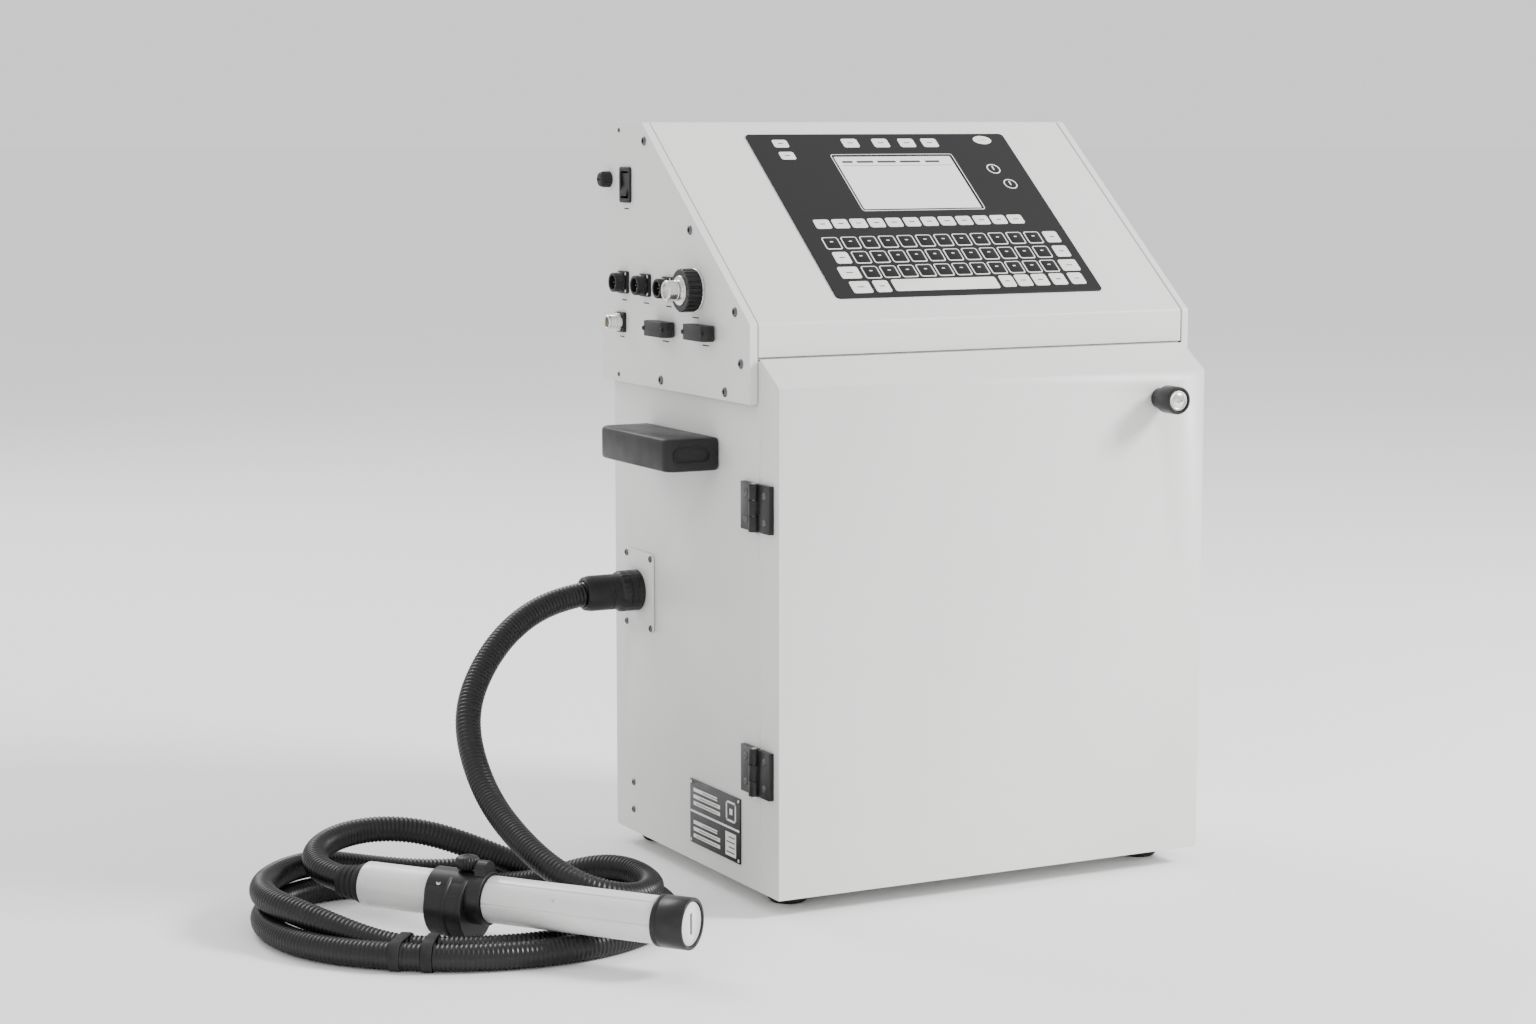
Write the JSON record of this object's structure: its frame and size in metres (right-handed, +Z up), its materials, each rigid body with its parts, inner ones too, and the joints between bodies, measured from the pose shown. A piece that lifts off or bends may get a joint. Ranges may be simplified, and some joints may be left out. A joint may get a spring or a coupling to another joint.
{
  "type": "date code inkjet printer",
  "caption": "Floor-standing cabinet with hinged lockable door, sloping keyboard and display console, side connectors, coiled black umbilical hose and cylindrical print head.",
  "frame": {"origin": "centre of the footprint of the cabinet and print head together, on the floor under the feet", "axes": "+Z up; -Y is the front, towards which the door faces; +X is to the right seen from the front, along the front of the cabinet; the print head lies on the -X side"},
  "size_m": [0.8354, 0.439, 0.625],
  "materials": {
    "white_powder_coat": "light fine-texture powder coat on steel sheet",
    "black_plastic": "black moulded plastic, satin",
    "black_rubber": "black rubber",
    "plain_steel": "plain zinc-plated steel",
    "keypad_foil": "dark membrane keypad foil with pale printed key faces",
    "display_glass": "clear window over a pale reflective display",
    "circuit_board": "circuit board",
    "translucent_polymer": "milky polymer",
    "hose_conduit": "black corrugated conduit",
    "anodised_aluminium": "plain machined aluminium"
  },
  "bodies": {
    "printer": {"cabinet_body": "white_powder_coat", "console_shell": "white_powder_coat", "connector_side_plate": "white_powder_coat", "right_side_plate": "white_powder_coat", "umbilical_flange": "white_powder_coat", "head_body": "white_powder_coat", "upper_hinge_cabinet_leaf": "black_plastic", "lower_hinge_cabinet_leaf": "black_plastic", "left_handle": "black_plastic", "right_handle": "black_plastic", "data_plate": "black_plastic", "umbilical_gland": "black_plastic", "interface_socket_1": "black_plastic", "interface_socket_2": "black_plastic", "interface_socket_3": "black_plastic", "round_connector_body": "black_plastic", "sensor_socket": "black_plastic", "serial_port_front": "black_plastic", "serial_port_rear": "black_plastic", "power_switch_frame": "black_plastic", "fan_frame": "black_plastic", "head_boot": "black_plastic", "head_clamp": "black_plastic", "door_seal": "black_rubber", "foot_front_left": "black_rubber", "foot_front_right": "black_rubber", "foot_rear_left": "black_rubber", "foot_rear_right": "black_rubber", "divider_plate": "plain_steel", "upper_hinge_pin": "plain_steel", "lower_hinge_pin": "plain_steel", "keypad_membrane": "keypad_foil", "display_window": "display_glass", "display_module": "circuit_board", "control_board": "circuit_board", "ink_tank": "translucent_polymer", "solvent_tank": "translucent_polymer", "ink_filter": "translucent_polymer", "hose_riser": "hose_conduit", "hose_coil": "hose_conduit", "hose_tail": "hose_conduit", "power_supply": "anodised_aluminium", "ink_pump": "anodised_aluminium", "valve_block": "anodised_aluminium", "nozzle_block": "anodised_aluminium"},
    "door": {"front_door": "white_powder_coat", "upper_hinge_door_leaf": "black_plastic", "lower_hinge_door_leaf": "black_plastic", "lock_collar": "black_plastic"},
    "lock": {"lock_core": "plain_steel", "lock_cam": "plain_steel"},
    "switch_rocker": {"power_switch_rocker": "black_plastic"},
    "fuse_carrier": {"fuse_cap": "black_plastic"},
    "plug_ring": {"round_connector_ring": "black_plastic"},
    "fan": {"fan_rotor": "black_plastic"},
    "ink_cap": {"ink_tank_cap": "black_plastic"},
    "solvent_cap": {"solvent_tank_cap": "translucent_polymer"},
    "clamp_screw": {"clamp_knob": "black_plastic"},
    "head_cover": {"head_cover_tube": "white_powder_coat", "head_nose_cap": "black_plastic"}
  },
  "joints": [
    {"name": "door_hinge", "type": "hinge", "parent": "printer", "child": "door", "pos_m": [-0.06551, -0.0615, 0.228], "axis": [0, 0, -1], "range_deg": [0, 90]},
    {"name": "lock_turn", "type": "hinge", "parent": "door", "child": "lock", "pos_m": [0.29439, -0.1215, 0.399], "axis": [0, -1, 0], "range_deg": [0, 90]},
    {"name": "power_rocker", "type": "hinge", "parent": "printer", "child": "switch_rocker", "pos_m": [-0.06511, 0.1685, 0.573], "axis": [0, 1, 0], "range_deg": [0, 16]},
    {"name": "fuse_bayonet", "type": "hinge", "parent": "printer", "child": "fuse_carrier", "pos_m": [-0.07061, 0.2025, 0.577], "axis": [-1, 0, 0], "range_deg": [0, 60]},
    {"name": "plug_ring_turn", "type": "hinge", "parent": "printer", "child": "plug_ring", "pos_m": [-0.07661, 0.03651, 0.491], "axis": [-1, 0, 0], "range_deg": [0, 120]},
    {"name": "fan_spin", "type": "hinge", "parent": "printer", "child": "fan", "pos_m": [0.07939, 0.2085, 0.545], "axis": [0, 1, 0], "continuous": true},
    {"name": "ink_cap_turn", "type": "hinge", "parent": "printer", "child": "ink_cap", "pos_m": [0.01239, 0.0485, 0.165], "axis": [0, 0, 1], "range_deg": [0, 540]},
    {"name": "solvent_cap_turn", "type": "hinge", "parent": "printer", "child": "solvent_cap", "pos_m": [0.14239, 0.0485, 0.165], "axis": [0, 0, 1], "range_deg": [0, 540]},
    {"name": "clamp_screw_turn", "type": "hinge", "parent": "printer", "child": "clamp_screw", "pos_m": [-0.30829, -0.05612, 0.066], "axis": [0, 0, 1], "range_deg": [0, 360]},
    {"name": "head_cover_slide", "type": "slide", "parent": "printer", "child": "head_cover", "axis": [0.609, -0.7932, 0], "range_m": [0, 0.12]}
  ]
}
